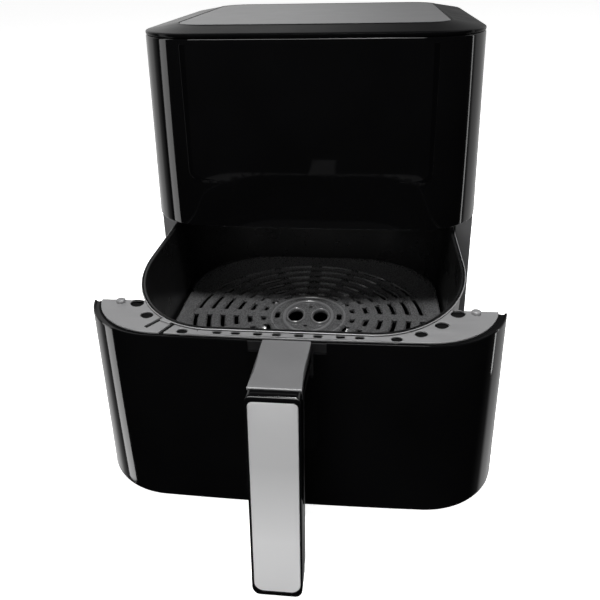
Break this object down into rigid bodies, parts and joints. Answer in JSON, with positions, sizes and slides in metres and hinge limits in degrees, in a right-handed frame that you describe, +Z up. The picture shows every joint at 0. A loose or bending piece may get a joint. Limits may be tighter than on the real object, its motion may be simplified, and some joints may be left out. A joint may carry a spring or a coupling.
{
  "type": "air fryer",
  "caption": "Square-bodied basket air fryer with a pull-out drawer, a slotted crisper plate, a plated bar handle and a glossy control window.",
  "frame": {"origin": "on the table under the middle of the whole assembly, with the drawer partly out", "axes": "+X to the user's right, -Y towards the user (the way the drawer opens), +Z up"},
  "size_m": [0.2838, 0.5238, 0.312],
  "materials": {
    "gloss_black": "high gloss",
    "panel_black": "high gloss, smoked window",
    "top_grey": "gloss",
    "matte_black": "satin",
    "rim_grey": "satin, light grey",
    "arm_grey": "satin grey",
    "trim_silver": "brushed, satin anodised",
    "non_stick": "dark non-stick coating, satin",
    "plated_sheet": "plated steel sheet",
    "heater_steel": "oxidised stainless tube",
    "steel": "zinc plated",
    "fan_alu": "mill finish",
    "silicone": "matte",
    "foot_rubber": "matte",
    "board_green": "coated circuit board",
    "white_plastic": "satin"
  },
  "bodies": {
    "housing": {"outer_shell": "gloss_black", "control_panel": "panel_black", "top_cover": "gloss_black", "top_panel": "top_grey", "lower_body": "gloss_black", "front_bezel": "rim_grey", "bay_ceiling": "matte_black", "base_plate": "matte_black", "rubber_feet": "foot_rubber", "rear_vent": "matte_black", "cord_gland": "silicone", "chamber_walls": "plated_sheet", "chamber_floor": "plated_sheet", "chamber_roof": "plated_sheet", "heater_dome": "plated_sheet", "heating_element": "heater_steel", "element_guard": "steel", "motor_body": "steel", "motor_bearings": "steel", "motor_bracket": "steel", "control_board": "board_green", "display_module": "white_plastic", "power_board": "board_green", "temperature_probe": "steel", "thermal_cutout": "white_plastic", "guide_rails": "steel", "drawer_switch": "white_plastic"},
    "fan": {"motor_shaft": "steel", "fan_impeller": "fan_alu", "cooling_fan": "white_plastic"},
    "drawer": {"drawer_front": "gloss_black", "drawer_rim": "rim_grey", "rim_clip": "rim_grey", "rim_nubs": "matte_black", "drawer_liner": "matte_black", "drawer_floor": "matte_black", "basket": "non_stick", "handle_front": "arm_grey", "handle_plate": "trim_silver", "handle_rear": "matte_black", "handle_bracket": "matte_black", "handle_screws": "steel"},
    "crisper": {"crisper_plate": "non_stick", "crisper_legs": "non_stick", "crisper_pads": "silicone"},
    "switch": {"switch_plunger": "white_plastic"}
  },
  "joints": [
    {"name": "drawer_slide", "type": "slide", "parent": "housing", "child": "drawer", "axis": [0, -1, 0], "range_m": [-0.1635, 0.05]},
    {"name": "crisper_lift", "type": "slide", "parent": "drawer", "child": "crisper", "axis": [0, 0, 1], "range_m": [0, 0.055]},
    {"name": "fan_spin", "type": "hinge", "parent": "housing", "child": "fan", "pos_m": [0, 0.1245, 0.2], "axis": [0, 0, 1], "continuous": true},
    {"name": "switch_press", "type": "slide", "parent": "housing", "child": "switch", "axis": [0, 0, 1], "range_m": [0, 0.0012], "stiffness_N_per_m": 100}
  ]
}
